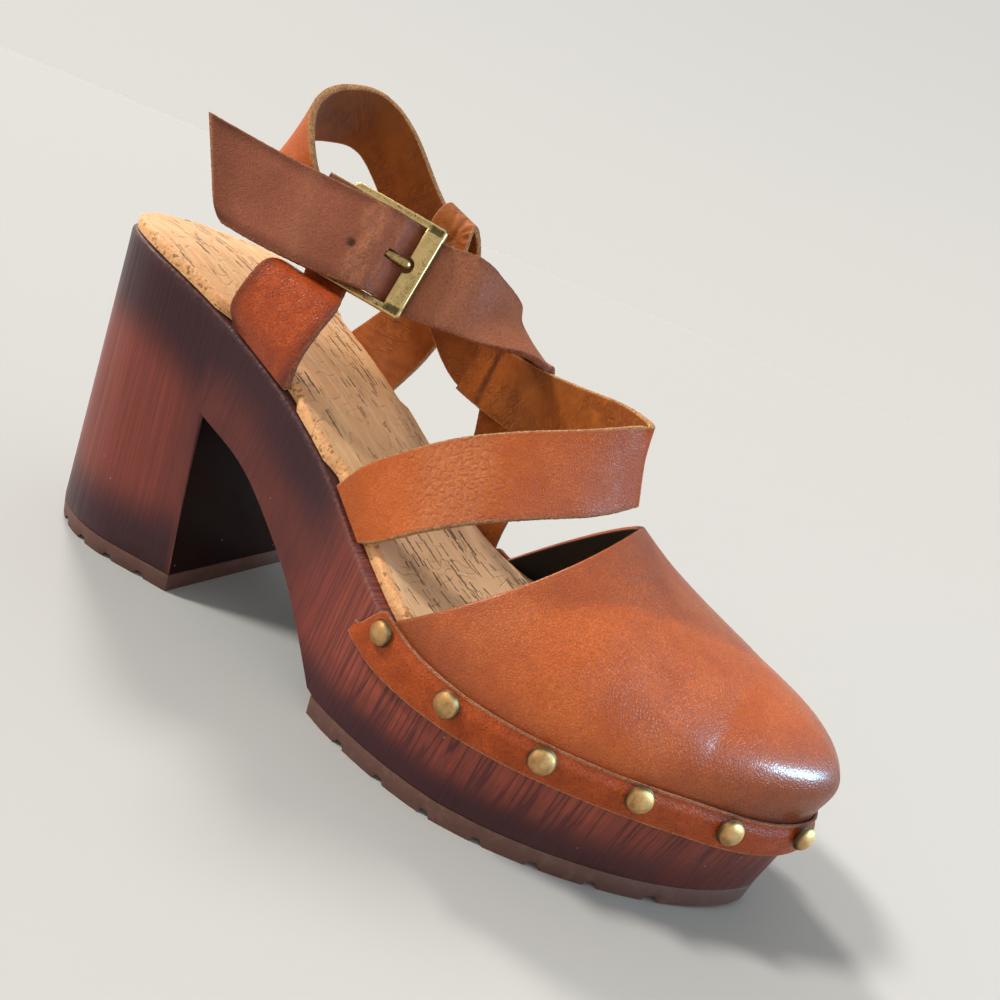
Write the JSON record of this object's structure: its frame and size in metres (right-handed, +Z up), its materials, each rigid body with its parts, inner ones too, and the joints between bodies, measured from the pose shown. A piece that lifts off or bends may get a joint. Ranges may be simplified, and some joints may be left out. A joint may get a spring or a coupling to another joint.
{
  "type": "platform clog sandal",
  "caption": "Closed-toe platform clog sandal on a block heel, with a nailed rand, crossed instep straps and a buckled heel strap.",
  "frame": {"origin": "on the floor under the middle of the shoe's box", "axes": "+X towards the toe, +Y towards the inner side of the foot, +Z up"},
  "size_m": [0.2285, 0.0975, 0.1419],
  "materials": {
    "rubber": "matte",
    "wood": "satin",
    "cork": "matte",
    "tan_leather": "satin",
    "brown_leather": "satin",
    "brass": "antique satin"
  },
  "bodies": {
    "root": {"buckle_frame": "brass", "buckle_prong": "brass", "buckle_strap": "brown_leather", "footbed": "cork", "heel_strap": "tan_leather", "inner_tab": "tan_leather", "instep_strap": "tan_leather", "nail_01": "brass", "nail_02": "brass", "nail_03": "brass", "nail_04": "brass", "nail_05": "brass", "nail_06": "brass", "nail_07": "brass", "nail_08": "brass", "nail_09": "brass", "nail_10": "brass", "nail_11": "brass", "nail_12": "brass", "outer_tab": "tan_leather", "outsole_forefoot": "rubber", "outsole_heel": "rubber", "rand": "tan_leather", "sole_platform": "wood", "vamp": "tan_leather"}
  },
  "joints": []
}
